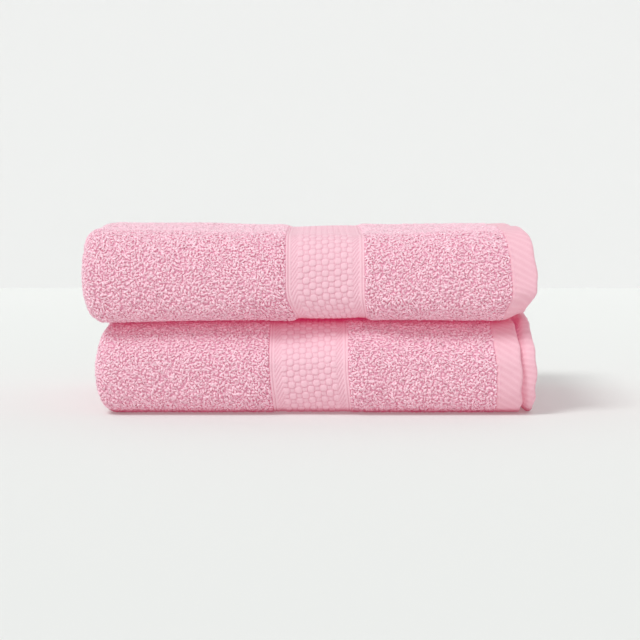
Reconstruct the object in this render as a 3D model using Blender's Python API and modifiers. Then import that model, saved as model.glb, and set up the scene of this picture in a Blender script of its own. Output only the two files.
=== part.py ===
"""A set of two bath towels, folded and laid one on the other.

Each towel is one length of terry cloth with a flat-woven border near each end, flat end hems and
side hems, and a line of sewing thread along every hem. The cloth is described as it lies flat: u runs
along its length from the outer end hem, v across its width from the side hem that ends up on top.
It is folded in half twice along its length, which makes a bundle of four plies, and the bundle is then
folded in three across: a top flap over a front fold, a bottom, a back fold and a tucked third inside.

The set stands on z = 0, centred on x and y, with the front fold towards -y and the end hems towards +x.
"""

import math

import bmesh
import bpy

# One towel's cloth, laid flat
CLOTH_LENGTH = 1.270
CLOTH_WIDTH = 0.690
END_HEM = 0.019
END_PILE = 0.1085  # pile between an end hem and its border
BORDER = 0.0585
SIDE_HEM = 0.010
SEAM_INSET = 0.0025  # from a hem's inner edge to its seam

# Thicknesses, and the space that each ply takes in the folded bundle
PLY_PITCH = 0.0056
PILE_THICKNESS = 0.0053
BORDER_THICKNESS = 0.0034
HEM_THICKNESS = 0.0040
THREAD_THICKNESS = 0.00035
THREAD_WIDTH = 0.0008
GAP = 0.0003  # between touching pieces
PLIES = 4

# The folded towel
FOLDED_DEPTH = 0.246
FLAP_SETBACK = 0.006  # from the back of the stack to the flap's free edge
BUNDLE_HALF = (PLIES - 1) * PLY_PITCH / 2 + PILE_THICKNESS / 2
BUNDLE_PITCH = 2 * BUNDLE_HALF + 0.0008
FOLDED_HEIGHT = 2 * BUNDLE_PITCH + 2 * BUNDLE_HALF
FRONT_FOLD_RADIUS = BUNDLE_PITCH
BACK_FOLD_RADIUS = BUNDLE_PITCH / 2
FRONT_FOLD_Y = -FOLDED_DEPTH / 2 + FRONT_FOLD_RADIUS + BUNDLE_HALF
BACK_FOLD_Y = FOLDED_DEPTH / 2 - BACK_FOLD_RADIUS - BUNDLE_HALF
FRONT_FOLD_Z = FOLDED_HEIGHT / 2
FOLD_MARGIN = 0.004  # straight cloth kept with the front fold on each side
TURN_SEGMENTS = {FRONT_FOLD_RADIUS: 10, BACK_FOLD_RADIUS: 8}
SMALL_TURN_SEGMENTS = 6

# Where each towel's ends lie along x, and how high it stands
TOWELS = {
    "lower": {"left": -0.159, "outer_end": 0.156, "inner_end": 0.167, "z": 0.0},
    "upper": {"left": -0.168, "outer_end": 0.168, "inner_end": 0.1645, "z": FOLDED_HEIGHT + 0.0005},
}

# Base colour and roughness of each kind of sub-part
LOOKS = {
    "pile": ((0.91, 0.42, 0.52), 0.95),
    "border": ((0.94, 0.48, 0.58), 0.80),
    "hem": ((0.93, 0.46, 0.56), 0.85),
    "thread": ((0.96, 0.55, 0.64), 0.60),
}


def straight(start, end):
    """A straight run of a route, as (length, function of distance, segments)."""
    length = math.dist(start, end)
    along = ((end[0] - start[0]) / length, (end[1] - start[1]) / length)

    def station(distance):
        return (
            start[0] + along[0] * distance,
            start[1] + along[1] * distance,
            along[1],
            -along[0],
        )

    return length, station, 1


def half_turn(centre, radius, first_angle, way=1):
    """A half circle of a route: way 1 turns counter-clockwise, -1 clockwise."""

    def station(distance):
        angle = first_angle + way * distance / radius
        return (
            centre[0] + radius * math.cos(angle),
            centre[1] + radius * math.sin(angle),
            way * math.cos(angle),
            way * math.sin(angle),
        )

    return math.pi * radius, station, TURN_SEGMENTS.get(radius, SMALL_TURN_SEGMENTS)


def width_route():
    """The bundle's middle line across the towel, in the yz plane: flap, front fold, bottom, back fold, tuck."""
    bottom = BUNDLE_HALF
    tuck = bottom + BUNDLE_PITCH
    top = bottom + 2 * BUNDLE_PITCH
    route = [
        straight((FOLDED_DEPTH / 2 - FLAP_SETBACK, top), (FRONT_FOLD_Y, top)),
        half_turn((FRONT_FOLD_Y, FRONT_FOLD_Z), FRONT_FOLD_RADIUS, math.pi / 2),
        straight((FRONT_FOLD_Y, bottom), (BACK_FOLD_Y, bottom)),
        half_turn((BACK_FOLD_Y, bottom + BACK_FOLD_RADIUS), BACK_FOLD_RADIUS, -math.pi / 2),
    ]
    left_over = CLOTH_WIDTH - sum(run[0] for run in route)
    return route + [straight((BACK_FOLD_Y, tuck), (BACK_FOLD_Y - left_over, tuck))]


def length_route(left, outer_end, inner_end):
    """The four plies' middle lines, in the plane of x and the bundle's normal, from the outer to the inner end hem."""
    outer = 1.5 * PLY_PITCH
    inner = 0.5 * PLY_PITCH
    left_turn = left + BUNDLE_HALF
    ends = outer_end - left_turn + inner_end - left_turn
    turns = math.pi * (outer + inner + PLY_PITCH / 2)
    right_turn = left_turn + (CLOTH_LENGTH - ends - turns) / 2
    return [
        straight((outer_end, outer), (left_turn, outer)),
        half_turn((left_turn, 0), outer, math.pi / 2),
        straight((left_turn, -outer), (right_turn, -outer)),
        half_turn((right_turn, -PLY_PITCH), PLY_PITCH / 2, -math.pi / 2),
        straight((right_turn, -inner), (left_turn, -inner)),
        half_turn((left_turn, 0), inner, -math.pi / 2, way=-1),
        straight((left_turn, inner), (inner_end, inner)),
    ]


def stations(route, start, end):
    """The route's stations from one distance to another: both ends, and every corner between them."""
    found = []
    reached = 0.0
    for length, station, segments in route:
        low, high = max(start - reached, 0.0), min(end - reached, length)
        if high - low > GAP:
            corners = [length * i / segments for i in range(segments + 1)]
            inside = [c for c in corners if low + GAP < c < high - GAP]
            found += [station(c) for c in [low, *inside, high]][1 if found else 0 :]
        reached += length
    return found


def add_patch(name, towel, u_span, v_span, thickness, look, lift=0.0, pivot=(0.0, 0.0)):
    """A patch of the folded cloth as one solid: its middle surface with Solidify.

    lift moves it off the plies' middle line, towards the cloth's outer face. pivot is the (y, z) that
    the object's origin has in the towel's own frame.
    """
    across = stations(width_route(), *v_span)
    along = stations(length_route(towel["left"], towel["outer_end"], towel["inner_end"]), *u_span)
    bm = bmesh.new()
    bmesh.ops.create_grid(bm, x_segments=len(along) - 1, y_segments=len(across) - 1, size=1)
    bm.verts.ensure_lookup_table()
    for vert in bm.verts:
        x, n, side_x, side_n = along[vert.index % len(along)]
        y, z, normal_y, normal_z = across[vert.index // len(along)]
        n += lift * side_n
        vert.co = (x + lift * side_x, y + n * normal_y - pivot[0], z + n * normal_z - pivot[1])
    mesh = bpy.data.meshes.new(name)
    bm.to_mesh(mesh)
    bm.free()
    mesh.shade_smooth()
    mesh.set_sharp_from_angle(angle=math.radians(40))
    patch = bpy.data.objects.new(name, mesh)
    solidify = patch.modifiers.new("Thickness", "SOLIDIFY")
    solidify.thickness = thickness
    solidify.offset = 0
    solidify.use_even_offset = True
    patch.data.materials.append(material(name, look))
    return patch


def material(name, look):
    colour, roughness = LOOKS[look]
    made = bpy.data.materials.new(name)
    made.use_nodes = True
    shader = made.node_tree.nodes["Principled BSDF"]
    shader.inputs["Base Color"].default_value = (*colour, 1)
    shader.inputs["Roughness"].default_value = roughness
    shader.inputs["Metallic"].default_value = 0
    return made


def zones():
    """The cloth's weaves along its length: name, first u, last u, thickness and look."""
    end_pile = END_HEM + END_PILE
    pile = end_pile + BORDER
    return [
        ("outer_end_hem", 0, END_HEM, HEM_THICKNESS, "hem"),
        ("outer_end_pile", END_HEM, end_pile, PILE_THICKNESS, "pile"),
        ("outer_border", end_pile, pile, BORDER_THICKNESS, "border"),
        ("main_pile", pile, CLOTH_LENGTH - pile, PILE_THICKNESS, "pile"),
        ("inner_border", CLOTH_LENGTH - pile, CLOTH_LENGTH - end_pile, BORDER_THICKNESS, "border"),
        ("inner_end_pile", CLOTH_LENGTH - end_pile, CLOTH_LENGTH - END_HEM, PILE_THICKNESS, "pile"),
        ("inner_end_hem", CLOTH_LENGTH - END_HEM, CLOTH_LENGTH, HEM_THICKNESS, "hem"),
    ]


def shortened(start, end):
    """A span with half a gap taken off each end."""
    return start + GAP / 2, end - GAP / 2


def add_zones(prefix, towel, v_span, pivot):
    v_span = shortened(*v_span)
    return [
        add_patch(f"{prefix}_{name}", towel, shortened(start, end), v_span, thickness, look, pivot=pivot)
        for name, start, end, thickness, look in zones()
    ]


def add_end_seams(prefix, towel, v_span, pivot):
    """The thread that holds each end hem down, lying on the hem's outer face."""
    v_span = shortened(*v_span)
    lift = HEM_THICKNESS / 2 + GAP + THREAD_THICKNESS / 2
    outer = END_HEM - SEAM_INSET
    inner = CLOTH_LENGTH - outer
    return [
        add_patch(
            f"{prefix}_{name}",
            towel,
            (u - THREAD_WIDTH / 2, u + THREAD_WIDTH / 2),
            v_span,
            THREAD_THICKNESS,
            "thread",
            lift,
            pivot,
        )
        for name, u in (("outer_end_seam", outer), ("inner_end_seam", inner))
    ]


def add_side_hem(prefix, towel, v_edge, v_inner, pivot):
    """One side hem, all along the folded cloth, and the thread that holds it down."""
    hem = add_patch(
        f"{prefix}_side_hem",
        towel,
        (0, CLOTH_LENGTH),
        shortened(*sorted((v_edge, v_inner))),
        HEM_THICKNESS,
        "hem",
        pivot=pivot,
    )
    seam_v = v_inner + math.copysign(SEAM_INSET, v_edge - v_inner)
    seam = add_patch(
        f"{prefix}_side_seam",
        towel,
        (SEAM_INSET, CLOTH_LENGTH / 2),
        (seam_v - THREAD_WIDTH / 2, seam_v + THREAD_WIDTH / 2),
        THREAD_THICKNESS,
        "thread",
        HEM_THICKNESS / 2 + GAP + THREAD_THICKNESS / 2,
        pivot,
    )
    return [hem, seam]


def empty(name, location, collection, parent=None):
    made = bpy.data.objects.new(name, None)
    made.location = location
    made.empty_display_size = 0.03
    made.parent = parent
    collection.objects.link(made)
    return made


def adopt(pieces, parent, collection):
    for piece in pieces:
        piece.parent = parent
        collection.objects.link(piece)


def add_lower_towel(collection):
    """The lower towel bears the upper one and stays folded, so each of its weaves is one piece."""
    towel = TOWELS["lower"]
    pivot = (0.0, 0.0)
    pile_v = (SIDE_HEM, CLOTH_WIDTH - SIDE_HEM)
    pieces = add_zones("lower", towel, pile_v, pivot)
    pieces += add_end_seams("lower", towel, pile_v, pivot)
    pieces += add_side_hem("lower_top", towel, 0, SIDE_HEM, pivot)
    pieces += add_side_hem("lower_tucked", towel, CLOTH_WIDTH, CLOTH_WIDTH - SIDE_HEM, pivot)
    adopt(pieces, empty("lower_towel", (0, 0, towel["z"]), collection), collection)


def add_upper_towel(collection):
    """The upper towel's flap opens, so its cloth is split where the front fold starts and ends."""
    towel = TOWELS["upper"]
    flap, front_fold = (run[0] for run in width_route()[:2])
    fold_start = flap - FOLD_MARGIN
    fold_end = flap + front_fold + FOLD_MARGIN
    base = empty("upper_towel", (0, 0, towel["z"]), collection)
    hinge = empty("upper_flap", (0, FRONT_FOLD_Y, FRONT_FOLD_Z), collection, base)

    base_pivot = (0.0, 0.0)
    base_v = (fold_end, CLOTH_WIDTH - SIDE_HEM)
    pieces = add_zones("upper_base", towel, base_v, base_pivot)
    pieces += add_end_seams("upper_base", towel, base_v, base_pivot)
    pieces += add_side_hem("upper_tucked", towel, CLOTH_WIDTH, CLOTH_WIDTH - SIDE_HEM, base_pivot)
    pieces += add_zones("upper_fold", towel, (fold_start, fold_end), base_pivot)
    pieces += add_end_seams("upper_fold", towel, (fold_start, fold_end), base_pivot)
    adopt(pieces, base, collection)

    hinge_pivot = (FRONT_FOLD_Y, FRONT_FOLD_Z)
    flap_v = (SIDE_HEM, fold_start)
    pieces = add_zones("upper_flap", towel, flap_v, hinge_pivot)
    pieces += add_end_seams("upper_flap", towel, flap_v, hinge_pivot)
    pieces += add_side_hem("upper_top", towel, 0, SIDE_HEM, hinge_pivot)
    adopt(pieces, hinge, collection)


def main():
    for obj in list(bpy.data.objects):
        bpy.data.objects.remove(obj)
    collection = bpy.data.collections.new("bath_towel_set")
    bpy.context.scene.collection.children.link(collection)
    add_lower_towel(collection)
    add_upper_towel(collection)


main()
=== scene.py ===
"""Looks of the bath towel set: two folded terry towels, one lying on the other.

Each towel is one sheet of ground cloth, folded as in the CAD model, with the things that are woven and
sewn on it as pieces of their own: terry loops as curled yarns, a border with a honeycomb weave, end hems
and side hems with their stitches. Points of the cloth are given as it lies flat: u runs along its
length from the outer end hem, v across its width from the hem that ends up on top, and h is the height
above its middle surface, towards the face that ends up outside. Lengths are in metres.
"""

import math

import bpy
import numpy as np
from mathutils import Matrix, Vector


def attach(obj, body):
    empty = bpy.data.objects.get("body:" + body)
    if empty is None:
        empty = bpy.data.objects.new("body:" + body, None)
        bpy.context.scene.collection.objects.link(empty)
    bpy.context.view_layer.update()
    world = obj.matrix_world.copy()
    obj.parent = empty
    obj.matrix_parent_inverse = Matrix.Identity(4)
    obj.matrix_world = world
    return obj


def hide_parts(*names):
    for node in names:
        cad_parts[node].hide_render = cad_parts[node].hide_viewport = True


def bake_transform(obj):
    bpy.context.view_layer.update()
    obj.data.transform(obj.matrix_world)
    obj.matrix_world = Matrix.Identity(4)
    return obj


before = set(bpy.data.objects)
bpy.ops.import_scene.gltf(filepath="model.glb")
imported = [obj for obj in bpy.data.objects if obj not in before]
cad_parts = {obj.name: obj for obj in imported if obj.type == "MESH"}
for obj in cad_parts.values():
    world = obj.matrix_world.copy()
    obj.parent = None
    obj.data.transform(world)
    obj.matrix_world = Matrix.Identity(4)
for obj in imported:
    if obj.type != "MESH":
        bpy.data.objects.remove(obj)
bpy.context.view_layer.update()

# The cloth laid flat, as in the CAD model
CLOTH_LENGTH = 1.270
CLOTH_WIDTH = 0.690
END_HEM = 0.019
END_PILE = 0.1085
BORDER = 0.0585
SIDE_HEM = 0.010
SEAM_INSET = 0.0025
BORDER_START = END_HEM + END_PILE
BORDER_END = BORDER_START + BORDER

# The folds, as in the CAD model
PLY_PITCH = 0.0056
PILE_HALF = 0.00265  # from a ply's middle to the tips of its loops
BUNDLE_HALF = 1.5 * PLY_PITCH + PILE_HALF
BUNDLE_PITCH = 2 * BUNDLE_HALF + 0.0008
FOLDED_DEPTH = 0.246
FOLDED_HEIGHT = 2 * BUNDLE_PITCH + 2 * BUNDLE_HALF
FLAP_SETBACK = 0.006
FRONT_RADIUS = BUNDLE_PITCH
BACK_RADIUS = BUNDLE_PITCH / 2
FRONT_Y = -FOLDED_DEPTH / 2 + FRONT_RADIUS + BUNDLE_HALF
BACK_Y = FOLDED_DEPTH / 2 - BACK_RADIUS - BUNDLE_HALF
MIDDLE_Z = FOLDED_HEIGHT / 2
UPPER_Z = FOLDED_HEIGHT + 0.0005

# Where each towel's ends lie along x, how high it stands, and the seed of its unevenness
TOWELS = {
    "lower": {"left": -0.159, "outer_end": 0.156, "inner_end": 0.167, "z": 0.0, "seed": 11},
    "upper": {"left": -0.168, "outer_end": 0.168, "inner_end": 0.1645, "z": UPPER_Z, "seed": 23},
}


# ---------------- folded cloth


def straight(start, end):
    """A straight run of a folded line: its length, and position and normal at distances along it."""
    length = math.dist(start, end)
    a, b = (end[0] - start[0]) / length, (end[1] - start[1]) / length

    def station(d):
        return np.stack([start[0] + a * d, start[1] + b * d, b + 0 * d, -a + 0 * d])

    return length, station


def half_turn(centre, radius, first_angle, way=1):
    """A half circle of a folded line: way 1 turns counter-clockwise, -1 clockwise."""

    def station(d):
        angle = first_angle + way * d / radius
        across, up = np.cos(angle), np.sin(angle)
        return np.stack([centre[0] + radius * across, centre[1] + radius * up, way * across, way * up])

    return math.pi * radius, station


def width_route():
    """The bundle's middle line across the towel, in y and z: flap, front fold, bottom, back fold, tuck."""
    bottom = BUNDLE_HALF
    tuck = bottom + BUNDLE_PITCH
    top = bottom + 2 * BUNDLE_PITCH
    runs = [
        straight((FOLDED_DEPTH / 2 - FLAP_SETBACK, top), (FRONT_Y, top)),
        half_turn((FRONT_Y, MIDDLE_Z), FRONT_RADIUS, math.pi / 2),
        straight((FRONT_Y, bottom), (BACK_Y, bottom)),
        half_turn((BACK_Y, bottom + BACK_RADIUS), BACK_RADIUS, -math.pi / 2),
    ]
    left_over = CLOTH_WIDTH - sum(length for length, _ in runs)
    return runs + [straight((BACK_Y, tuck), (BACK_Y - left_over, tuck))]


def length_route(left, outer_end, inner_end):
    """The four plies' middle lines, in x and the bundle's normal, from the outer to the inner end hem."""
    outer, inner = 1.5 * PLY_PITCH, 0.5 * PLY_PITCH
    left_turn = left + BUNDLE_HALF
    ends = outer_end - left_turn + inner_end - left_turn
    turns = math.pi * (outer + inner + PLY_PITCH / 2)
    right_turn = left_turn + (CLOTH_LENGTH - ends - turns) / 2
    return [
        straight((outer_end, outer), (left_turn, outer)),
        half_turn((left_turn, 0), outer, math.pi / 2),
        straight((left_turn, -outer), (right_turn, -outer)),
        half_turn((right_turn, -PLY_PITCH), PLY_PITCH / 2, -math.pi / 2),
        straight((right_turn, -inner), (left_turn, -inner)),
        half_turn((left_turn, 0), inner, -math.pi / 2, way=-1),
        straight((left_turn, inner), (inner_end, inner)),
    ]


ACROSS = width_route()
FLAP_LENGTH, FRONT_LENGTH, BOTTOM_LENGTH, BACK_LENGTH, TUCK_LENGTH = (length for length, _ in ACROSS)
V_STARTS = np.cumsum([0, FLAP_LENGTH, FRONT_LENGTH, BOTTOM_LENGTH, BACK_LENGTH, TUCK_LENGTH])
for towel in TOWELS.values():
    towel["along"] = length_route(towel["left"], towel["outer_end"], towel["inner_end"])
    towel["u_starts"] = np.cumsum([0] + [length for length, _ in towel["along"]])


def look_up(route, distance):
    """Two coordinates and the normal's two, at each distance along a route; its ends go on straight."""
    found = np.zeros((4, *distance.shape))
    reached = 0.0
    for index, (length, station) in enumerate(route):
        inside = (distance >= reached) | (index == 0)
        if index < len(route) - 1:
            inside &= distance < reached + length
        found[:, inside] = station(distance[inside] - reached)
        reached += length
    return found


def smooth(t):
    """0 below 0, 1 above 1 and a smooth step between."""
    t = np.clip(t, 0, 1)
    return t * t * (3 - 2 * t)


def rise(value, start, end):
    """0 before start, 1 past end and a smooth step between; end may lie on either side of start."""
    return smooth((value - start) / (end - start))


def humps(x, shapes):
    """A sum of smooth humps along the towel, each given by its middle, its half width and its height."""
    return sum(height * np.exp(-(((x - middle) / width) ** 2)) for middle, width, height in shapes)


def waves(a, b, seed, wavelength):
    """A smooth random field of two coordinates, about -1 to 1."""
    rng = np.random.default_rng(seed)
    total = np.zeros(np.broadcast(a, b).shape)
    for _ in range(5):
        heading, phase = rng.uniform(0, 2 * math.pi, 2)
        k = 2 * math.pi / (wavelength * rng.uniform(0.7, 1.6))
        total += np.sin(k * (a * math.cos(heading) + b * math.sin(heading)) + phase)
    return total / 3


# How the plies of a bundle settle on each other
BAND_DIP = 0.0021  # the bundle sinks where two thin borders lie over each other
BAND_EDGE = 0.004  # the dip starts and ends this far to each side of the border's edges
DIP_PLIES = (-0.003, 0.0085)  # from the ply that stays to the ply that sinks all the way
DIP_END = 0.02  # how far across the cloth it takes to fade out
FREE_PLY = 0.022  # past the inner fold, this much of the two outer plies can give way
END_PLIES = (-0.002, 0.001)  # the two plies that end in hems lie above this step in the bundle
HEM_CLEAR = (-0.0005, 0.0065)  # from the first hem's end, where the second one is let go
HELD_BACK = 0.005  # on the lower towel, the dip ends this much before the front fold does
TUCK_EASE = 0.03

# How both towels lie
BODY_WAVES = 0.0009
SHARED_WAVELENGTH, SHARED_SEED = 0.16, 5
OWN_WAVELENGTH = 0.12
FRONT_WAVES = 0.0011
FRONT_WAVELENGTH = 0.09
LEFT_ROUND = (-0.05, -0.16)  # the x where the rolled end starts to draw in, and where it is drawn in
RIGHT_ROUND = 0.09
FRONT_HALF = (0.05, -0.08)  # the y between which the back half gives way to the front half
FRONT_FACE = (-0.05, -0.11)  # the y between which the front fold's slackness sets in
FRONT_EDGE = (-0.09, -0.115)  # and its bottom edge's unevenness
SAG_REACH, TILT_REACH = 0.118, 0.12  # how far from the middle sag and end_tilt are measured
BORDER_GRIP = (0.045, 0.6)  # half width of the overhang that the border holds back, and the share held
FLARE_WIDTH, LEAN_WIDTH = 0.045, 0.060  # half widths
FLARE_OFFSET = 0.011  # from the border's left edge to the middle of the flare
FLOOR_GAP = 0.0002  # loops that would reach the floor are pressed flat just above it

# How each towel lies: the lower one's value, and the upper one's
SLACK = {
    "droop": (0.0, -0.0008),  # how far the free part of the outer plies sinks
    "relax": (0.0060, 0.0),  # how far the second hem spreads outwards
    "left_inset_top": (0.0052, 0.0020),  # how far the rolled end draws in at its top front and bottom
    "left_inset_bottom": (0.0055, 0.0065),
    "end_inset": (0.0, 0.0018),  # how far the hems draw in: all over, up the front, at the top edge
    "right_inset": (0.0040, 0.0052),
    "top_corner": (0.0, 0.0036),
    "corner_inset": (0.0, 0.0070),  # how far the hem's lower corner draws in, and how far it is raised
    "corner_lift": (0.0, 0.0055),
    "second_inset": (0.002, 0.0),  # how far the second hem's lower corner draws in
    "front_powers": ((2.2, 2.9), (2.5, 2.9)),  # of the front fold, above and below its middle: 2 is round
    "overhang": (0.0, 0.0060),  # how far the front's lower half hangs out, and its top edge leans back
    "recess": (0.0068, 0.0),
    "flare": (0.0, 0.0105),  # how far the front's lower edge spreads right, and leans at the border
    "lean": (0.0040, 0.0),
    "end_tilt": (0.0, 0.0012),  # how far the top rises towards the front at both ends
    "sag": (0.0, 0.0016),  # how much lower the bottom edge is at the left than in the middle
}
for key, values in SLACK.items():
    TOWELS["lower"][key], TOWELS["upper"][key] = values

# Humps of the upper towel's top face and of its bottom edge
TOP_HUMPS = [
    (-0.158, 0.014, 0.0008),
    (-0.149, 0.030, 0.0008),
    (-0.052, 0.034, -0.0010),
    (0.060, 0.030, -0.0024),
    (0.158, 0.012, -0.0003),
]
BOTTOM_HUMPS = [(-0.035, 0.025, 0.0032), (0.011, 0.024, -0.0009)]


def border_middle(towel):
    """Where the outer border's middle lies along x."""
    return towel["outer_end"] - (BORDER_START + BORDER_END) / 2


def settle(towel, x, n, v):
    """How far the bundle's plies give way along the bundle's normal."""
    front_start, front_end, tuck_start = FLAP_LENGTH, V_STARTS[2], V_STARTS[4]
    from_border = np.abs(x - border_middle(towel)) - BORDER / 2
    bare = rise(v, front_end + DIP_END, front_end)
    if towel is TOWELS["lower"]:
        held = front_end - HELD_BACK
        bare = bare * rise(v, front_start, front_start + DIP_END) * rise(v, held, held - DIP_END)
    dip = BAND_DIP * bare * rise(from_border, BAND_EDGE, -BAND_EDGE) * np.interp(n, DIP_PLIES, (0, 1))
    # Past the inner fold, only the two plies with hems go on, with nothing between them and the next bundle
    with_hems = rise(n, *END_PLIES)
    out = rise(x, towel["outer_end"] - FREE_PLY, towel["outer_end"]) * with_hems
    on_flap = rise(v, front_end, front_start)
    on_tuck = rise(v, tuck_start, tuck_start + TUCK_EASE)
    droop = towel["droop"] * out * (on_flap + 0.8 * on_tuck)
    # The second hem, clear of the first, is no longer held down and spreads outwards
    clear = rise(x - towel["outer_end"], *HEM_CLEAR) * with_hems
    facing = np.sin(math.pi * np.clip((v - front_start) / FRONT_LENGTH, 0, 1))
    return towel["relax"] * clear * (1 + 0.4 * on_flap - 0.85 * facing) - dip - droop


def square_front(towel, y, z):
    """Makes the front fold's round blunter, above and below its middle by the towel's two powers."""
    ahead, up = np.minimum(y - FRONT_Y, 0), z - MIDDLE_Z
    reach = np.maximum(np.hypot(ahead, up), 1e-9)
    c, s = np.abs(ahead) / reach, np.abs(up) / reach
    power = np.where(up > 0, *towel["front_powers"])
    grow = (c**power + s**power) ** (-1 / power)
    return np.where(y < FRONT_Y, FRONT_Y + ahead * grow, y), MIDDLE_Z + np.where(y < FRONT_Y, up * grow, up)


def draw_in(towel, x, y, high):
    """The x of points once the rolled end and the hems' end are rounded off."""
    ahead = rise(y, *FRONT_HALF)
    left_inset = np.where(high > 0, towel["left_inset_top"] * (2 * ahead - 1), towel["left_inset_bottom"])
    x = x + rise(x, *LEFT_ROUND) * left_inset * np.abs(high) ** 1.6
    right = rise(x, towel["outer_end"] - RIGHT_ROUND, towel["outer_end"])
    raised = np.maximum(high, 0)
    top_inset = towel["right_inset"] * rise(y, 0, -0.10) * raised**1.2 + towel["top_corner"] * raised**12
    x = x - right * (towel["end_inset"] + top_inset)
    x = x - right * towel["corner_inset"] * rise(high, -0.46, -1)
    second = rise(x - towel["outer_end"], 0.003, 0.009)
    return x - second * towel["second_inset"] * np.maximum(-high, 0) ** 1.5


def uneven(towel, x, y, z, high):
    """How far points are raised: slow waviness, the hem's raised corner, the uneven bottom edge."""
    lift = BODY_WAVES * waves(x, y, SHARED_SEED, SHARED_WAVELENGTH)
    level = np.clip(z / FOLDED_HEIGHT, 0, 1)
    if towel is TOWELS["lower"]:
        return lift * level
    own = BODY_WAVES * waves(x, y, towel["seed"], OWN_WAVELENGTH)
    tilt = towel["end_tilt"] * rise(np.abs(x), 0.13, 0.165) * -y / TILT_REACH
    lift = lift + (own + humps(x, TOP_HUMPS) + tilt) * level
    corner = rise(x - towel["outer_end"], -0.026, -0.010) * rise(high, 0.1, -0.8)
    edge = rise(y, *FRONT_EDGE) * rise(high, 0.2, -1)
    sag = -towel["sag"] * x / SAG_REACH - humps(x, BOTTOM_HUMPS)
    return lift + towel["corner_lift"] * corner - sag * edge


def slacken_front(towel, x, y, z, high):
    """The x and y of points once the front fold hangs, leans and spreads as each towel's does."""
    front = rise(y, *FRONT_FACE)
    middle = border_middle(towel)
    hanging = rise(high, 0.5, -1) * (1 - humps(x, [(middle, *BORDER_GRIP)]))
    ripple = FRONT_WAVES * waves(x, z, towel["seed"] + 1, FRONT_WAVELENGTH)
    y = y + front * (ripple - towel["overhang"] * hanging + towel["recess"] * rise(high, 0.1, 1))
    flare = towel["flare"] * np.clip((-high - 0.2) / 0.8, 0, 1) ** 2 * front
    lean = towel["lean"] * np.maximum(-high, 0) * front
    flare_middle = towel["outer_end"] - BORDER_END + FLARE_OFFSET
    return x + humps(x, [(flare_middle, FLARE_WIDTH, flare), (middle, LEAN_WIDTH, lean)]), y


def drape(towel, x, y, z):
    """The slack shape of the whole towel."""
    high = (z - MIDDLE_Z) / MIDDLE_Z  # -1 at the towel's bottom, 1 at its top
    x = draw_in(towel, x, y, high)
    lift = uneven(towel, x, y, z, high)
    x, y = slacken_front(towel, x, y, z, high)
    return x, y, np.maximum(z + towel["z"] + lift, FLOOR_GAP)


def place(towel, u, v, h):
    """Where points of the cloth lie in the folded set."""
    u, v, h = np.broadcast_arrays(u, v, h)
    x, n, side_x, side_n = look_up(towel["along"], u)
    y, z, normal_y, normal_z = look_up(ACROSS, v)
    x, n = x + h * side_x, n + h * side_n
    n = n + settle(towel, x, n, v)
    y, z = square_front(towel, y + n * normal_y, z + n * normal_z)
    return np.stack(drape(towel, x, y, z), axis=-1)


def flap_share(v):
    """How much of the flap's turn a point follows: all on the flap, none past the front fold."""
    return 1 - np.clip((v - FLAP_LENGTH) / FRONT_LENGTH, 0, 1)


# ---------------- meshes


def make_piece(name, points, corners, sizes, material, **attributes):
    """A smooth-shaded mesh object from vertex positions, face corners and the corner count of each face.

    Each attribute holds one number or one vector for each vertex.
    """
    mesh = bpy.data.meshes.new(name)
    mesh.vertices.add(len(points))
    mesh.vertices.foreach_set("co", np.ascontiguousarray(points, np.float32).ravel())
    mesh.loops.add(len(corners))
    mesh.loops.foreach_set("vertex_index", np.ascontiguousarray(corners, np.int32))
    mesh.polygons.add(len(sizes))
    starts = np.concatenate([[0], np.cumsum(sizes)[:-1]])
    mesh.polygons.foreach_set("loop_start", starts.astype(np.int32))
    mesh.update(calc_edges=True)
    mesh.shade_smooth()
    for key, values in attributes.items():
        kind, field = ("FLOAT_VECTOR", "vector") if np.ndim(values) == 2 else ("FLOAT", "value")
        attribute = mesh.attributes.new(key, kind, "POINT")
        attribute.data.foreach_set(field, np.ascontiguousarray(values, np.float32).ravel())
    mesh.materials.append(material)
    piece = bpy.data.objects.new(name, mesh)
    bpy.context.scene.collection.objects.link(piece)
    return piece


def tube_faces(stations, around):
    """Quads of a closed profile of `around` points swept through the stations, without its two ends."""
    row, col = np.meshgrid(np.arange(stations - 1), np.arange(around), indexing="ij")
    after = (col + 1) % around
    quads = [row * around + col, row * around + after, (row + 1) * around + after, (row + 1) * around + col]
    return np.stack(quads, axis=-1).reshape(-1, 4)


def swept_piece(name, points, material, ladder=False, **attributes):
    """A closed piece from points[station, around].

    ladder closes each end with quads between the profile's two halves, and not with one face.
    """
    stations, around = points.shape[:2]
    sides = tube_faces(stations, around)
    last = (stations - 1) * around
    if ladder:
        i = np.arange(around // 2 - 1)
        rungs = np.stack([i + 1, i, around - 1 - i, around - 2 - i], axis=-1)
        ends = np.concatenate([rungs, last + rungs[:, ::-1]])
        corners = np.concatenate([sides.ravel(), ends.ravel()])
        sizes = np.full(len(corners) // 4, 4)
    else:
        ends = np.concatenate([np.arange(around)[::-1], last + np.arange(around)])
        corners = np.concatenate([sides.ravel(), ends])
        sizes = np.concatenate([np.full(len(sides), 4), [around, around]])
    return make_piece(name, points.reshape(-1, 3), corners, sizes, material, **attributes)


def steps(start, end, pitch):
    """Evenly spaced values from start to end, about a pitch apart."""
    return np.linspace(start, end, max(2, round((end - start) / pitch) + 1))


def v_stations(pitches, start=SIDE_HEM, end=CLOTH_WIDTH - SIDE_HEM):
    """Stations across the cloth, with a pitch for each of flap, front fold, bottom, back fold and tuck."""
    runs = [steps(a, b, pitch) for a, b, pitch in zip(V_STARTS[:-1], V_STARTS[1:], pitches)]
    inner = np.concatenate([runs[0]] + [run[1:] for run in runs[1:]])
    inner = inner[(inner > start + 1e-4) & (inner < end - 1e-4)]
    return np.concatenate([[start], inner, [end]])


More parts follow.
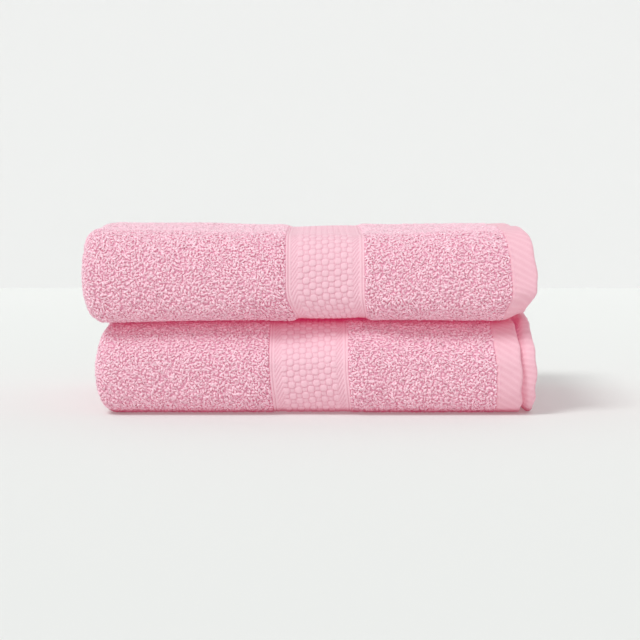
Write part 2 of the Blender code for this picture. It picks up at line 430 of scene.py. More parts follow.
# Pitches of those stations, from the closest to the widest
FINE_STATIONS = (0.0006, 0.0004, 0.004, 0.00035, 0.0015)
HEM_STATIONS = (0.0012, 0.0007, 0.004, 0.0006, 0.002)
COARSE_STATIONS = (0.003, 0.001, 0.006, 0.0015, 0.006)
GROUND_STATIONS = (0.006, 0.0022, 0.006, 0.0014, 0.006)


def u_stations(towel, straight_pitch, turn_pitch, margin=0.0):
    """Stations along the cloth, from one margin inside an end to the other, closer together in its turns."""
    starts = np.clip(towel["u_starts"], margin, CLOTH_LENGTH - margin)
    pitches = [straight_pitch, turn_pitch] * 3 + [straight_pitch]
    runs = [steps(a, b, pitch) for a, b, pitch in zip(starts[:-1], starts[1:], pitches)]
    return np.unique(np.concatenate(runs))


OUTER_REACH = 1.5 * PLY_PITCH + 0.002  # from the bundle's middle to the face of its outermost ply


def surface_distance(v):
    """Distance across the towel along its outermost face, at v along the bundle's middle."""
    stretch = [1, 1 + OUTER_REACH / FRONT_RADIUS, 1, 1 + OUTER_REACH / BACK_RADIUS, 1]
    covered = np.concatenate([[0], np.cumsum(np.diff(V_STARTS) * stretch)])
    return np.interp(v, V_STARTS, covered)


# ---------------- ground cloth

GROUND_PILE_HALF = 0.0011
GROUND_BORDER_HALF = 0.0010
GROUND_HEM_HALF = 0.0010
GROUND_INSET = 0.0008  # the ground cloth ends inside its hems: its end hems, and its side hems
GROUND_SIDE_INSET = 0.001


def ground_half(u):
    """Half of the ground cloth's thickness, along the cloth."""
    from_end = np.minimum(u, CLOTH_LENGTH - u)
    half = np.where(from_end < END_HEM, GROUND_HEM_HALF, GROUND_PILE_HALF)
    return np.where((from_end > BORDER_START) & (from_end < BORDER_END), GROUND_BORDER_HALF, half)


def add_ground(prefix, towel, material):
    """The whole towel's ground cloth as one closed sheet."""
    u = u_stations(towel, 0.006, 0.0009)
    u[0], u[-1] = GROUND_INSET, CLOTH_LENGTH - GROUND_INSET
    v = v_stations(GROUND_STATIONS, GROUND_SIDE_INSET, CLOTH_WIDTH - GROUND_SIDE_INSET)
    half = ground_half(u)
    profile_u = np.concatenate([u, u[::-1]])
    profile_h = np.concatenate([half, -half[::-1]])
    points = place(towel, profile_u, v[:, None], profile_h)
    return swept_piece(f"{prefix}_ground", points, material, ladder=True, flap=flap_of(v, points))


def flap_of(v, points):
    """The flap's share at each point of a piece swept across the cloth."""
    return np.broadcast_to(flap_share(v)[:, None], points.shape[:2]).ravel()


# ---------------- woven borders

CORD_PITCH = 0.0022
CORDS_WIDTH = 0.0044
CORD_RISE = 0.0008
DIAGONAL_WIDTH = 0.0046
DIAGONAL_PITCH = 0.0020
DIAGONAL_SLOPE = math.radians(60)
DIAGONAL_RISE = 0.0006
HONEYCOMB_PITCH = 0.0092
HONEYCOMB_ROW = 0.0044
ROW_SLANT = 0.09
BUMP_HALF_WIDTH = 0.0026
BUMP_HALF_HEIGHT = 0.0026
BUMP_POWER = 2.8  # 2 is round, more is squarer
BUMP_RISE = 0.0009
CELL_RISE = 0.0005
RUNG_PITCH = 0.0011
BORDER_FACE = 0.0014  # from the cloth's middle to the weave's valleys
BORDER_SUNK = 0.0006  # how deep a border's underside lies in the ground cloth
BORDER_BEVEL = 0.0008


def ridges(distance, pitch, sharp=1.0):
    """Rounded parallel ridges, 0 in the valleys and 1 on the crests."""
    return np.abs(np.cos(math.pi * distance / pitch)) ** sharp


def honeycomb(a, s):
    """Cushions in staggered rows, a narrow groove round each, and a lower ribbed cell between neighbours."""
    row = np.round(s / HONEYCOMB_ROW)
    nearest = np.full(np.broadcast(a, s).shape, np.inf)
    for step in (-1, 0, 1):
        near = row + step
        shift = HONEYCOMB_PITCH / 2 * (near % 2)
        column = np.round((a - shift) / HONEYCOMB_PITCH)
        across = np.abs(a - shift - column * HONEYCOMB_PITCH) / BUMP_HALF_WIDTH
        up = np.abs(s - near * HONEYCOMB_ROW) / BUMP_HALF_HEIGHT
        nearest = np.minimum(nearest, (across**BUMP_POWER + up**BUMP_POWER) ** (1 / BUMP_POWER))
    cushion = BUMP_RISE * (0.8 + 0.2 * smooth(1 - nearest)) * smooth((1.06 - nearest) / 0.2)
    rungs = 0.75 + 0.25 * ridges(s - row * HONEYCOMB_ROW, RUNG_PITCH)
    return np.maximum(cushion, CELL_RISE * rungs * smooth((nearest - 1.1) / 0.15))


def border_relief(a, s):
    """Height of the border's weave above its valleys, a across it from one edge and s along it."""
    edge = np.minimum(a, BORDER - a)
    cords = CORD_RISE * ridges(edge - CORD_PITCH / 2, CORD_PITCH, 0.5)
    slope = a * math.sin(DIAGONAL_SLOPE) - s * math.cos(DIAGONAL_SLOPE)
    diagonal = CELL_RISE + DIAGONAL_RISE * (ridges(slope, DIAGONAL_PITCH, 0.6) - 1)
    centre = a - BORDER / 2
    comb = honeycomb(centre, s - ROW_SLANT * centre)
    in_cords = smooth((CORDS_WIDTH - edge) / 0.0004)
    in_comb = smooth((edge - CORDS_WIDTH - DIAGONAL_WIDTH) / 0.0006)
    return in_cords * cords + (1 - in_cords) * (1 - in_comb) * diagonal + in_comb * comb


def add_border(name, towel, u_start, pitch, v, material):
    """One border as a closed slab on the ground cloth's outer face."""
    a = steps(0, BORDER, pitch)
    s = surface_distance(v)
    relief = border_relief(a, s[:, None])
    edge = smooth(np.minimum(a, BORDER - a) / BORDER_BEVEL)
    height = GROUND_BORDER_HALF + (BORDER_FACE + relief - GROUND_BORDER_HALF) * edge
    under = steps(0, BORDER, 0.006)[::-1]
    sunk = np.full((len(v), len(under)), GROUND_BORDER_HALF - BORDER_SUNK)
    profile_h = np.concatenate([height, sunk], axis=1)
    profile_u = u_start + np.concatenate([a, under])
    points = place(towel, profile_u, v[:, None], profile_h)
    # painted shade: stored as relief, this darkens the colour in the weave's valleys
    shade = np.clip((height - BORDER_FACE) / CELL_RISE, 0, 1)
    shade = np.concatenate([shade, np.ones(sunk.shape)], axis=1).ravel()
    cloth = cloth_of(profile_u, s)
    return swept_piece(name, points, material, flap=flap_of(v, points), cloth=cloth, relief=shade)


def cloth_of(u, s):
    """Flat coordinates of the cloth at each point of a swept profile, for its weave's pattern."""
    u, s = np.broadcast_arrays(u, s[:, None])
    return np.stack([u, s, 0 * u], axis=-1).reshape(-1, 3)


# ---------------- hems and stitches

HEM_HALF = 0.0019
TWILL_PITCH = 0.0048
TWILL_SHARES = (0.65, 0.35)  # of the wide ridges, and of the fine ones at half their pitch
TWILL_RISE = 0.0009
TWILL_LEVEL = 0.7  # the twill's height that lies at the hem's half thickness
TWILL_TILT = {True: 0.58, False: 0.2}  # from the cloth's length, in the outer and the inner hem
END_HEM_WAVES, END_HEM_WAVELENGTH = 0.0005, 0.012
HEM_STEP = 0.0012  # the length over which an end hem gets thinner, down to the ground cloth
SIDE_HEM_HALF = HEM_HALF - 0.0002
SIDE_STITCH_HEIGHT = HEM_HALF - 0.0001
SIDE_RIB_PITCH, SIDE_RIB_RISE = 0.0042, 0.00018
SIDE_HEM_WAVES, SIDE_HEM_WAVELENGTH = 0.0004, 0.02


def hem_profile(width, pitch):
    """A hem's section: distance from the cloth's edge, and height from 1 over its round edge to -1 below."""
    top = steps(HEM_HALF, width, pitch)[::-1]
    turn = np.linspace(math.pi / 2, 3 * math.pi / 2, 9)[1:-1]
    below = steps(HEM_HALF, width, 2 * pitch)
    inward = np.concatenate([top, HEM_HALF + HEM_HALF * np.cos(turn), below])
    height = np.concatenate([np.full(len(top), 1.0), np.sin(turn), np.full(len(below), -1.0)])
    return inward, height


def add_end_hem(name, towel, outer, v, pitch, material):
    """An end hem, folded round the end of the ground cloth, with its twill's soft diagonal on both faces."""
    inward, side = hem_profile(END_HEM, pitch)
    s = surface_distance(v)
    tilt = TWILL_TILT[outer]
    slope = inward * math.sin(tilt) + s[:, None] * math.cos(tilt)
    wide, fine = ridges(slope, TWILL_PITCH, 0.6), ridges(slope, TWILL_PITCH / 2)
    ribs = TWILL_SHARES[0] * wide + TWILL_SHARES[1] * fine
    twill = TWILL_RISE * (ribs - TWILL_LEVEL)
    thin = smooth((END_HEM - inward) / HEM_STEP)
    height = side * (GROUND_HEM_HALF + (HEM_HALF + twill - GROUND_HEM_HALF) * thin)
    edge = END_HEM_WAVES * waves(s, 0 * s, towel["seed"] + 7, END_HEM_WAVELENGTH)
    distance = inward + edge[:, None] * smooth((END_HEM - inward) / END_HEM)
    points = place(towel, distance if outer else CLOTH_LENGTH - distance, v[:, None], height)
    if outer:
        points, ribs, inward = points[:, ::-1], ribs[:, ::-1], inward[::-1]
    cloth = cloth_of(inward, s)
    # the ribs, stored as relief, paint shade into the twill's grooves
    return swept_piece(name, points, material, flap=flap_of(v, points), cloth=cloth, relief=ribs.ravel())


def add_side_hem(name, towel, top, material):
    """A side hem, folded round the cloth's long edge, through all four plies."""
    inward, side = hem_profile(SIDE_HEM, 0.0012)
    u = u_stations(towel, 0.002, 0.0008, margin=0.0005)
    ribs = ridges(u, SIDE_RIB_PITCH)[:, None] * np.abs(side)
    height = side * (SIDE_HEM_HALF + SIDE_RIB_RISE * ribs)
    edge = SIDE_HEM_WAVES * waves(u, 0 * u, towel["seed"] + 9, SIDE_HEM_WAVELENGTH)
    distance = inward + edge[:, None]
    v = distance if top else CLOTH_WIDTH - distance
    points = place(towel, u[:, None], v, height)
    if not top:
        points, ribs = points[:, ::-1], ribs[:, ::-1]
    cloth = np.stack(np.broadcast_arrays(u[:, None], distance, 0), axis=-1).reshape(-1, 3)
    # the ribs, stored as relief, paint shade into their grooves, and the colour is darker along the hem's
    # round edge
    return swept_piece(name, points, material, flap=flap_share(v).ravel(), cloth=cloth, relief=ribs.ravel())


STITCH_LENGTH = 0.0026
STITCH_PITCH = 0.0034
STITCH_RADIUS = 0.00028
STITCH_BOW = 0.0003
STITCH_SUNK = 0.00025  # how deep a stitch's ends lie in the hem
STITCH_RINGS = 6
STITCH_SIDES = 5


def add_stitches(name, towel, u_line, v_line, height, material):
    """A row of short bowed threads whose ends go into the hem. u_line and v_line hold the row's two ends."""
    start, end = np.array([u_line[0], v_line[0]]), np.array([u_line[1], v_line[1]])
    length = np.linalg.norm(end - start)
    way = (end - start) / length
    along = np.arange(STITCH_PITCH, length - STITCH_PITCH, STITCH_PITCH)
    t = np.linspace(-0.5, 0.5, STITCH_RINGS)
    bow = height + STITCH_BOW * np.cos(math.pi * t) - STITCH_SUNK
    centre = start + along[:, None] * way
    uv = centre[:, None, :] + (t * STITCH_LENGTH)[:, None] * way
    angle = np.arange(STITCH_SIDES) * 2 * math.pi / STITCH_SIDES
    side = np.array([way[1], -way[0]])
    uv = uv[:, :, None, :] + (STITCH_RADIUS * np.cos(angle))[:, None] * side
    h = bow[:, None] + STITCH_RADIUS * np.sin(angle)
    points = place(towel, uv[..., 0], uv[..., 1], np.broadcast_to(h, uv.shape[:3]))
    return tubes_piece(name, points, material, flap=flap_share(uv[..., 1]).ravel())


def tubes_piece(name, points, material, **attributes):
    """Many short tubes with closed ends as one piece, from points[tube, ring, around]."""
    count, rings, around = points.shape[:3]
    one = tube_faces(rings, around)
    sides = (np.arange(count)[:, None, None] * rings * around + one[None]).reshape(-1)
    caps = np.stack([np.arange(around)[::-1], (rings - 1) * around + np.arange(around)])
    caps = (np.arange(count)[:, None, None] * rings * around + caps[None]).reshape(-1)
    corners = np.concatenate([sides, caps])
    sizes = np.concatenate([np.full(count * len(one), 4), np.full(count * 2, around)])
    return make_piece(name, points.reshape(-1, 3), corners, sizes, material, **attributes)


# ---------------- terry pile

LOOP_PITCH = 0.0016
LOOP_LENGTH = (0.0014, 0.0025)
LOOP_RISE = (0.0003, 0.0015)
LOOP_LEAN = 0.0006  # how far a loop usually leans over, and how far it curls
LOOP_CURL = 0.0005
LOOP_ROOT = 0.0006  # height of a loop's two ends, inside the ground cloth
LOOP_RINGS = 4
LOOP_SIDES = 4
YARN_RADIUS = 0.00080
YARN_VARIETY = (0.85, 1.12)
ROOT_JITTER = 0.42  # of the pitch
FLOW_PATCH = 0.035  # size of the patches in which loops lie much the same way
FLOW_TURN = 1.6
FLOW_SPREAD = 0.95
LEAST_STRETCH = 0.3  # where the inside of a fold is tighter, loops stay as wide as at this stretch


def stretch_at(towel, u, v, h):
    """How much the cloth's faces are stretched along u and along v, at height h."""
    step = 1e-4
    along = np.linalg.norm(place(towel, u + step, v, h) - place(towel, u - step, v, h), axis=-1)
    across = np.linalg.norm(place(towel, u, v + step, h) - place(towel, u, v - step, h), axis=-1)
    return along / (2 * step), across / (2 * step)


def scatter(towel, rng, u_span, v_span, pitch):
    """Roots of loops spread evenly over a stretch of the cloth's outer face, as u and v."""
    v_middle = np.array([(v_span[0] + v_span[1]) / 2])
    roots_u, roots_v = [], []
    u = u_span[0]
    while u < u_span[1]:
        along, across = stretch_at(towel, np.array([u]), v_middle, PILE_HALF)
        row_pitch = pitch / max(float(along[0]), LEAST_STRETCH)
        count = max(1, round((v_span[1] - v_span[0]) * float(across[0]) / pitch))
        cell = (v_span[1] - v_span[0]) / count
        columns = np.arange(count) + rng.uniform(0, 1) + rng.uniform(-ROOT_JITTER, ROOT_JITTER, count)
        roots_v.append(v_span[0] + columns % count * cell)
        roots_u.append(u + row_pitch * (0.5 + rng.uniform(-ROOT_JITTER, ROOT_JITTER, count)))
        u += row_pitch
    return np.clip(np.concatenate(roots_u), *u_span), np.clip(np.concatenate(roots_v), *v_span)


def loop_paths(rng, count, size):
    """Middle lines of loops that rise, lean over and curl: along, across, height, each [loop, ring]."""
    t = np.linspace(0, 1, LOOP_RINGS)
    length = size * rng.uniform(*LOOP_LENGTH, (count, 1))
    height = rng.uniform(*LOOP_RISE, (count, 1))
    lean = size * rng.normal(0, LOOP_LEAN, (count, 1))
    curl = size * rng.normal(0, LOOP_CURL, (count, 1))
    arch = np.sin(math.pi * t) ** 0.55
    along = -0.5 * length * np.cos(math.pi * t) * (1 + 0.1 * arch)
    across = lean * arch + curl * np.sin(2 * math.pi * t)
    return along, across, height * arch


def ring_points(along, across, height, radius):
    """Points of tubes round those middle lines, as along, across and height, each [loop, ring, side]."""
    path = np.stack([along, across, height], axis=-1)
    tangent = np.gradient(path, axis=1)
    tangent /= np.linalg.norm(tangent, axis=-1, keepdims=True)
    side = np.array([0.0, 1.0, 0.0]) - tangent * tangent[..., 1:2]
    side /= np.linalg.norm(side, axis=-1, keepdims=True)
    up = np.cross(tangent, side)
    angle = (np.arange(LOOP_SIDES) + 0.5) * 2 * math.pi / LOOP_SIDES
    around = np.cos(angle)[:, None] * side[..., None, :] + np.sin(angle)[:, None] * up[..., None, :]
    return path[..., None, :] + radius[..., None, None] * around


def add_loops(name, towel, rng, roots, size, material):
    """Terry loops rooted in the cloth's outer face at u and v, size times as big as the smallest."""
    u, v = roots
    count = len(u)
    along, across, height = loop_paths(rng, count, size)
    swell = 0.8 + 0.35 * np.sin(math.pi * np.linspace(0, 1, LOOP_RINGS))
    radius = YARN_RADIUS * (0.4 + 0.6 * size) * swell * rng.uniform(*YARN_VARIETY, (count, 1))
    local = ring_points(along, across, height, radius)
    flow = FLOW_TURN * waves(u, surface_distance(v), towel["seed"] + 3, FLOW_PATCH)
    heading = (flow + rng.normal(0, FLOW_SPREAD, count))[:, None, None]
    forward = local[..., 0] * np.cos(heading) - local[..., 1] * np.sin(heading)
    sideways = local[..., 0] * np.sin(heading) + local[..., 1] * np.cos(heading)
    stretch_u, stretch_v = np.maximum(stretch_at(towel, u, v, PILE_HALF), LEAST_STRETCH)
    loop_u = u[:, None, None] + forward / stretch_u[:, None, None]
    loop_v = v[:, None, None] + sideways / stretch_v[:, None, None]
    points = place(towel, loop_u, loop_v, LOOP_ROOT + local[..., 2])
    depth = np.clip(local[..., 2] / (LOOP_RISE[1] + YARN_RADIUS), 0, 1)
    tint = np.broadcast_to(rng.uniform(0, 1, (count, 1, 1)), depth.shape)
    share = np.broadcast_to(flap_share(v)[:, None, None], depth.shape)
    return tubes_piece(name, points, material, depth=depth.ravel(), tint=tint.ravel(), flap=share.ravel())


# ---------------- materials

# Each weave's colours, from dark to light; on the border, hems and pile the dark end is painted shade in
# valleys and at roots
GROUND_PINK = ((0.56, 0.32, 0.42), (0.64, 0.40, 0.50))
BORDER_SHADE_AND_DYE_PINKS = ((0.64, 0.40, 0.47), (0.74, 0.56, 0.62))
HEM_SHADE_AND_DYE_PINKS = ((0.61, 0.38, 0.44), (0.735, 0.53, 0.585))
THREAD_PINK = ((0.68, 0.48, 0.56), (0.74, 0.56, 0.63))
PILE_ROOT_SHADE_PINKS = ((0.64, 0.40, 0.49), (0.80, 0.61, 0.69), (0.87, 0.76, 0.82))
PILE_VARIETY = (0.88, 1.05)  # in brightness, from loop to loop

# Painted glow: every towel material emits a little of this deep pink, standing in for light scattered
# through the cotton; it shows most in the creases
GLOW = (1.0, 0.05, 0.19, 1.0)
PAINTED_SCATTER_GLOW = 0.17
SHEEN_TINT = (1.0, 0.86, 0.9, 1.0)

# Painted shade: the lower towel's rim at the floor turns deep pink
FLOOR_CONTACT_SHADE_PINK = (0.42, 0.02, 0.09, 1.0)
FLOOR_CONTACT_SHADE_HEIGHT = (0.0004, 0.0060)  # where the contact's painted shade is full, and where it has gone
FLOOR_CONTACT_SHADE_RIM = (0.74, 0.86)  # where it starts and is full, as shares of the underside's half size
UNDERSIDE = (0.160, 0.123)  # half the length and depth of what lies on the floor


def new_material(name, roughness, sheen=0.0, glow=0.0):
    material = bpy.data.materials.new(name)
    material.use_nodes = True
    tree = material.node_tree
    shader = tree.nodes["Principled BSDF"]
    settings = {
        "Roughness": roughness,
        "Specular IOR Level": 0.25,
        "Sheen Weight": sheen,
        "Sheen Roughness": 0.5,
        "Sheen Tint": SHEEN_TINT,
        # painted glow of the towels' cotton; the stage's planes set their own emission colour
        "Emission Color": GLOW,
        "Emission Strength": glow,
    }
    for key, value in settings.items():
        shader.inputs[key].default_value = value
    return material, tree, shader


def node(tree, kind, **settings):
    """A new node, with the inputs and properties given."""
    made = tree.nodes.new(kind)
    for key, value in settings.items():
        if key in made.inputs:
            made.inputs[key].default_value = value
        else:
            setattr(made, key, value)
    return made


def stored(tree, name, output="Fac"):
    """What the mesh stores at each vertex under that name."""
    return node(tree, "ShaderNodeAttribute", attribute_name=name).outputs[output]


def calculate(tree, operation, *values):
    """A Math node's result. Each value is a number or another node's output."""
    made = node(tree, "ShaderNodeMath", operation=operation)
    for socket, value in zip(made.inputs, values):
        if isinstance(value, bpy.types.NodeSocket):
            tree.links.new(value, socket)
        else:
            socket.default_value = value
    return made.outputs[0]


def map_range(tree, value, source, target, **settings):
    """A value mapped from one span to another."""
    made = node(tree, "ShaderNodeMapRange", **settings)
    for key, number in zip(("From Min", "From Max", "To Min", "To Max"), (*source, *target)):
        made.inputs[key].default_value = number
    tree.links.new(value, made.inputs["Value"])
    return made.outputs["Result"]


def noise_on(tree, vector, scale, detail=2.0):
    noise = node(tree, "ShaderNodeTexNoise", Scale=scale, Detail=detail)
    tree.links.new(vector, noise.inputs["Vector"])
    return noise.outputs["Fac"]


def object_place(tree):
    return node(tree, "ShaderNodeTexCoord").outputs["Object"]


def colour_ramp(tree, factor, stops):
    ramp = node(tree, "ShaderNodeValToRGB")
    elements = ramp.color_ramp.elements
    for element, (position, colour) in zip([elements[0], elements[1]], [stops[0], stops[-1]]):
        element.position, element.color = position, (*colour, 1)
    for position, colour in stops[1:-1]:
        elements.new(position).color = (*colour, 1)
    tree.links.new(factor, ramp.inputs["Fac"])
    return ramp.outputs["Color"]


def paint_floor_contact_shade(tree, colour):
    """Paints shade on the lower towel's rim at the floor: deepens a colour towards deep pink there, where
    only scattered light gets in.
    """
    parts = node(tree, "ShaderNodeSeparateXYZ")
    tree.links.new(object_place(tree), parts.inputs["Vector"])
    reach = [
        calculate(tree, "DIVIDE", calculate(tree, "ABSOLUTE", parts.outputs[axis]), half)
        for axis, half in zip("XY", UNDERSIDE)
    ]
    low = map_range(tree, parts.outputs["Z"], FLOOR_CONTACT_SHADE_HEIGHT, (1, 0), interpolation_type="SMOOTHSTEP")
    rim = map_range(tree, calculate(tree, "MAXIMUM", *reach), FLOOR_CONTACT_SHADE_RIM, (0, 1))
    mix = node(tree, "ShaderNodeMix", data_type="RGBA")
    tree.links.new(calculate(tree, "MULTIPLY", low, rim), mix.inputs["Factor"])
    tree.links.new(colour, mix.inputs[6])
    mix.inputs[7].default_value = FLOOR_CONTACT_SHADE_PINK
    return mix.outputs[2]


def add_bump(tree, shader, height, strength, distance):
    bump = node(tree, "ShaderNodeBump", Strength=strength, Distance=distance)
    tree.links.new(height, bump.inputs["Height"])
    tree.links.new(bump.outputs["Normal"], shader.inputs["Normal"])


def pile_material():
    """Yarn painted with shade: deeper pink towards its root, where loops shade each other, and lighter at
    the tips; a little lighter or darker from loop to loop.
    """
    material, tree, shader = new_material("terry_pile", 0.9, sheen=0.40, glow=PAINTED_SCATTER_GLOW)
    # painted shade: deeper pink towards the loops' roots, lighter at their tips
    stops = list(zip((0.15, 0.6, 1.0), PILE_ROOT_SHADE_PINKS))
    base = colour_ramp(tree, stored(tree, "depth"), stops)
    varied = node(tree, "ShaderNodeHueSaturation")
    tree.links.new(base, varied.inputs["Color"])
    brightness = map_range(tree, stored(tree, "tint"), (0, 1), PILE_VARIETY)
    tree.links.new(brightness, varied.inputs["Value"])
    tree.links.new(paint_floor_contact_shade(tree, varied.outputs["Color"]), shader.inputs["Base Color"])
    add_bump(tree, shader, noise_on(tree, object_place(tree), 2600), 0.35, 0.0002)
    return material


def ground_material():
    material, tree, shader = new_material("ground_cloth", 0.95, glow=PAINTED_SCATTER_GLOW)
    mottle = noise_on(tree, object_place(tree), 900, detail=3.0)
    colour = colour_ramp(tree, mottle, list(zip((0.3, 0.7), GROUND_PINK)))
    tree.links.new(paint_floor_contact_shade(tree, colour), shader.inputs["Base Color"])
    add_bump(tree, shader, noise_on(tree, object_place(tree), 1200), 0.6, 0.0004)
    return material


def thread_material():
    material, tree, shader = new_material("hem_thread", 0.55, sheen=0.1, glow=PAINTED_SCATTER_GLOW)
    mottle = noise_on(tree, object_place(tree), 1500)
    colour = colour_ramp(tree, mottle, list(zip((0.3, 0.7), THREAD_PINK)))
    tree.links.new(paint_floor_contact_shade(tree, colour), shader.inputs["Base Color"])
    return material


THREAD_PITCH = 0.00055
WAVE_SCALE = 0.314 / THREAD_PITCH  # a wave texture of scale 1 repeats every 0.314
SHADE_SHARES = (0.6, 0.2, 0.2)  # of the weave's relief, painted as shade in its valleys, of its threads and of uneven dye


def threads(tree, cloth, angle):
    """Fine ribs across the cloth's flat coordinates, turned by an angle."""
    turned = node(tree, "ShaderNodeVectorRotate", rotation_type="Z_AXIS", Angle=angle)
    wave = node(tree, "ShaderNodeTexWave", wave_type="BANDS", bands_direction="X", Scale=WAVE_SCALE)
    wave.inputs["Distortion"].default_value = 0.6
    wave.inputs["Detail Scale"].default_value = 0.5
    tree.links.new(cloth, turned.inputs["Vector"])
    tree.links.new(turned.outputs["Vector"], wave.inputs["Vector"])
    return wave.outputs["Fac"]


def flat_weave_material(name, pinks, slant):
    """Flat cloth woven of fine threads: slant turns them from the cloth's length towards its width."""
    material, tree, shader = new_material(name, 0.8, sheen=0.3, glow=PAINTED_SCATTER_GLOW)
    cloth = stored(tree, "cloth", "Vector")
    crossed = [threads(tree, cloth, angle) for angle in (slant, slant + math.pi / 2)]
    weave = calculate(tree, "MULTIPLY", *crossed)
    dye = noise_on(tree, cloth, 260, detail=3.0)
    shade = 0.0
    # the stored relief paints shade into the weave's valleys
    for source, share in zip((stored(tree, "relief"), weave, dye), SHADE_SHARES):
        shade = calculate(tree, "MULTIPLY_ADD", source, share, shade)
    colour = colour_ramp(tree, shade, list(zip((0.1, 0.75), pinks)))
    tree.links.new(paint_floor_contact_shade(tree, colour), shader.inputs["Base Color"])
    add_bump(tree, shader, weave, 0.35, 0.00025)
    return material


# ---------------- the towels


def carry(prefix, piece, nodes):
    """Puts a lower towel's piece on its body, or bakes an upper towel's piece in place, and hides the CAD
    nodes that it replaces.
    """
    if prefix == "lower":
        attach(piece, "lower_towel")
    else:
        bend(piece)
    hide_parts(*nodes)
    return piece


def bend(piece):
    """Bakes a piece of the upper towel in place, and reads each point's share of the flap, which nothing
    uses.
    """
    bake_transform(piece)
    share = np.empty(len(piece.data.vertices), np.float32)
    piece.data.attributes["flap"].data.foreach_get("value", share)


def nodes_of(prefix, suffix):
    """The CAD nodes that one weave of the towel is made of."""
    if prefix == "lower":
        return [f"lower_{suffix}"]
    return [f"upper_{part}_{suffix}" for part in ("base", "fold", "flap")]


PILE_NODES = ("main_pile", "outer_end_pile", "inner_end_pile")


def loop_regions(towel):
    """The stretches of the outer face that can carry loops, each as a span of u."""
    starts = towel["u_starts"]
    margin = 0.0002
    return {
        "end_pile": (END_HEM + margin, BORDER_START - margin),
        "main": (BORDER_END + margin, starts[1]),
        "left": (starts[1], starts[2]),
        "under": (starts[2], starts[3]),
        "right": (starts[3], starts[4]),
    }


FRONT_LOOPS = 1.0
OUTSIDE_LOOPS = 1.3
INSIDE_LOOPS = 1.85
SEEN = {
    "flap": ("end_pile", "main", "left", "right", "under"),
    "front": ("end_pile", "main", "left", "right"),
    "bottom": ("left", "right"),
    "back": ("end_pile", "main", "left", "right"),
    "tuck": ("left", "right", "end_pile", "main"),
}


def loop_size(prefix, u_name, v_name):
    """How big a stretch's loops are and how far apart, or None where no view and no pose shows them."""
    inside = u_name == "under" or (v_name == "tuck" and u_name in ("end_pile", "main"))
    if u_name not in SEEN[v_name] or (inside and prefix == "lower"):
        return None
    covered = prefix == "lower" and v_name == "flap" and u_name != "left"
    if inside or covered:
        return INSIDE_LOOPS
    return FRONT_LOOPS if v_name == "front" else OUTSIDE_LOOPS


def add_pile(prefix, towel, material):
    """All the terry loops of one towel, as one piece for each stretch of its outer face."""
    rng = np.random.default_rng(towel["seed"])
    regions = loop_regions(towel)
    made = []
    for v_name, start, end in zip(SEEN, V_STARTS[:-1], V_STARTS[1:]):
        v_span = (max(start, SIDE_HEM), min(end, CLOTH_WIDTH - SIDE_HEM))
        for u_name, u_span in regions.items():
            size = loop_size(prefix, u_name, v_name)
            if size is None:
                continue
            roots = scatter(towel, rng, u_span, v_span, LOOP_PITCH * size)
            piece = add_loops(f"{prefix}_loops_{v_name}_{u_name}", towel, rng, roots, size, material)
            nodes = nodes_of(prefix, "outer_end_pile" if u_name == "end_pile" else "main_pile")
            made.append(carry(prefix, piece, nodes))
    return made


def add_borders(prefix, towel, materials):
    """The outer border, and the inner one, which no view shows, with a coarser mesh."""
    bands = (
        ("outer", BORDER_START, 0.00055, FINE_STATIONS),
        ("inner", CLOTH_LENGTH - BORDER_END, 0.003, COARSE_STATIONS),
    )
    made = []
    for which, u_start, pitch, pitches in bands:
        stations = v_stations(pitches)
        band = add_border(f"{prefix}_{which}_band", towel, u_start, pitch, stations, materials["border"])
        made.append(carry(prefix, band, nodes_of(prefix, f"{which}_border")))
    return made


def add_end_hems(prefix, towel, materials):
    """Both end hems, each with its row of stitches."""
    made = []
    for which, outer in (("outer", True), ("inner", False)):
        stations = v_stations(HEM_STATIONS)
        hem = add_end_hem(f"{prefix}_{which}_hem", towel, outer, stations, 0.0011, materials["hem"])
        made.append(carry(prefix, hem, nodes_of(prefix, f"{which}_end_hem")))
        inward = END_HEM - SEAM_INSET
        u = inward if outer else CLOTH_LENGTH - inward
        span = (SIDE_HEM, CLOTH_WIDTH - SIDE_HEM)
        name = f"{prefix}_{which}_stitches"
        seam = add_stitches(name, towel, (u, u), span, HEM_HALF, materials["thread"])
        made.append(carry(prefix, seam, nodes_of(prefix, f"{which}_end_seam")))
    return made


def add_side_hems(prefix, towel, materials):
    """Both side hems, each with its row of stitches along the two outermost plies."""
    made = []
    for which, top in (("top", True), ("tucked", False)):
        hem = add_side_hem(f"{prefix}_{which}_side", towel, top, materials["hem"])
        made.append(carry(prefix, hem, [f"{prefix}_{which}_side_hem"]))
        inward = SIDE_HEM - SEAM_INSET
        v = inward if top else CLOTH_WIDTH - inward
        span = (SEAM_INSET, CLOTH_LENGTH / 2)
        name = f"{prefix}_{which}_side_stitches"
        seam = add_stitches(name, towel, span, (v, v), SIDE_STITCH_HEIGHT, materials["thread"])
        made.append(carry(prefix, seam, [f"{prefix}_{which}_side_seam"]))
    return made


def add_towel(prefix, materials):
    towel = TOWELS[prefix]
    ground = add_ground(prefix, towel, materials["ground"])
    carry(prefix, ground, [n for suffix in PILE_NODES for n in nodes_of(prefix, suffix)])
    pieces = add_pile(prefix, towel, materials["pile"])
    pieces += add_borders(prefix, towel, materials)
    pieces += add_end_hems(prefix, towel, materials)
    pieces += add_side_hems(prefix, towel, materials)


# ---------------- studio

CAMERA_PLACE = (0.0074, -1.6, 0.185)
CAMERA_DIP = 4.4  # degrees below the horizon
LENS, SENSOR = 114.0, 36.0  # in millimetres

WALL_Y = 1.43
WALL_HEIGHT = 4.0
STAGE = 5.0  # half the stage's width
FLOOR_COLOUR, FLOOR_GLOW = (0.637, 0.652, 0.636), 0.163
WALL_COLOUR = (0.805, 0.81, 0.805)

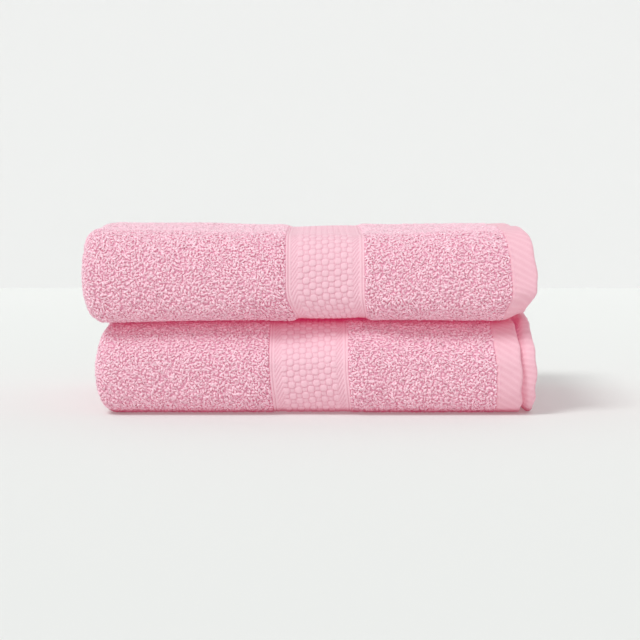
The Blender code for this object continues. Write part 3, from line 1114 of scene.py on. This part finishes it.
SKY_LIGHT = 0.52
SKY_SEEN = 0.86  # past the wall's edges the backdrop goes on as bright as the wall
# Each sun: where it shines from, the angle that it spans in degrees, and its strength
SUNS = {
    "key": ((-1.2, -1.2, 2.2), 22, 1.72),
    "fill": ((0.2, -3.2, 0.35), 35, 0.60),
}


def add_camera():
    camera = bpy.data.cameras.new("camera")
    camera.lens, camera.sensor_width = LENS, SENSOR
    holder = bpy.data.objects.new("camera", camera)
    holder.location = CAMERA_PLACE
    holder.rotation_euler = (math.radians(90 - CAMERA_DIP), 0, 0)
    bpy.context.scene.collection.objects.link(holder)
    bpy.context.scene.camera = holder


def stage_plane(name, points, colour, glow=0.0):
    """A plain part of the stage. Its glow stands in for light from a bright room's other walls."""
    mesh = bpy.data.meshes.new(name)
    mesh.from_pydata(points, [], [(0, 1, 2, 3)])
    plane = bpy.data.objects.new(name, mesh)
    bpy.context.scene.collection.objects.link(plane)
    material, _, shader = new_material(name, 0.9, glow=glow)
    shader.inputs["Base Color"].default_value = (*colour, 1)
    shader.inputs["Emission Color"].default_value = (1, 1, 1, 1)
    mesh.materials.append(material)


def add_stage():
    floor = [(-STAGE, -STAGE, 0), (STAGE, -STAGE, 0), (STAGE, WALL_Y, 0), (-STAGE, WALL_Y, 0)]
    top = WALL_HEIGHT
    wall = [(-STAGE, WALL_Y, 0), (STAGE, WALL_Y, 0), (STAGE, WALL_Y, top), (-STAGE, WALL_Y, top)]
    stage_plane("floor", floor, FLOOR_COLOUR, FLOOR_GLOW)
    stage_plane("wall", wall, WALL_COLOUR)


def add_sun(name, towards, softness, strength):
    data = bpy.data.lights.new(name, "SUN")
    data.angle, data.energy = math.radians(softness), strength
    light = bpy.data.objects.new(name, data)
    light.rotation_euler = Vector(towards).to_track_quat("Z", "Y").to_euler()
    bpy.context.scene.collection.objects.link(light)


def add_sky():
    """An even white sky, brighter where the camera sees it than where it lights the set."""
    world = bpy.data.worlds.new("studio")
    world.use_nodes = True
    tree = world.node_tree
    sky = tree.nodes["Background"]
    sky.inputs["Color"].default_value = (1, 1, 1, 1)
    sky.inputs["Strength"].default_value = SKY_LIGHT
    seen = node(tree, "ShaderNodeBackground", Color=(1, 1, 1, 1), Strength=SKY_SEEN)
    kind = node(tree, "ShaderNodeLightPath")
    mix = node(tree, "ShaderNodeMixShader")
    tree.links.new(kind.outputs["Is Camera Ray"], mix.inputs["Fac"])
    tree.links.new(sky.outputs["Background"], mix.inputs[1])
    tree.links.new(seen.outputs["Background"], mix.inputs[2])
    tree.links.new(mix.outputs["Shader"], tree.nodes["World Output"].inputs["Surface"])
    bpy.context.scene.world = world


def main():
    bpy.context.scene.view_settings.view_transform = "Standard"
    materials = {
        "pile": pile_material(),
        "ground": ground_material(),
        "border": flat_weave_material("border_weave", BORDER_SHADE_AND_DYE_PINKS, slant=0.0),
        "hem": flat_weave_material("hem_twill", HEM_SHADE_AND_DYE_PINKS, slant=0.5),
        "thread": thread_material(),
    }
    add_camera()
    add_stage()
    add_sky()
    for name, sun in SUNS.items():
        add_sun(name, *sun)
    for prefix in TOWELS:
        add_towel(prefix, materials)


main()
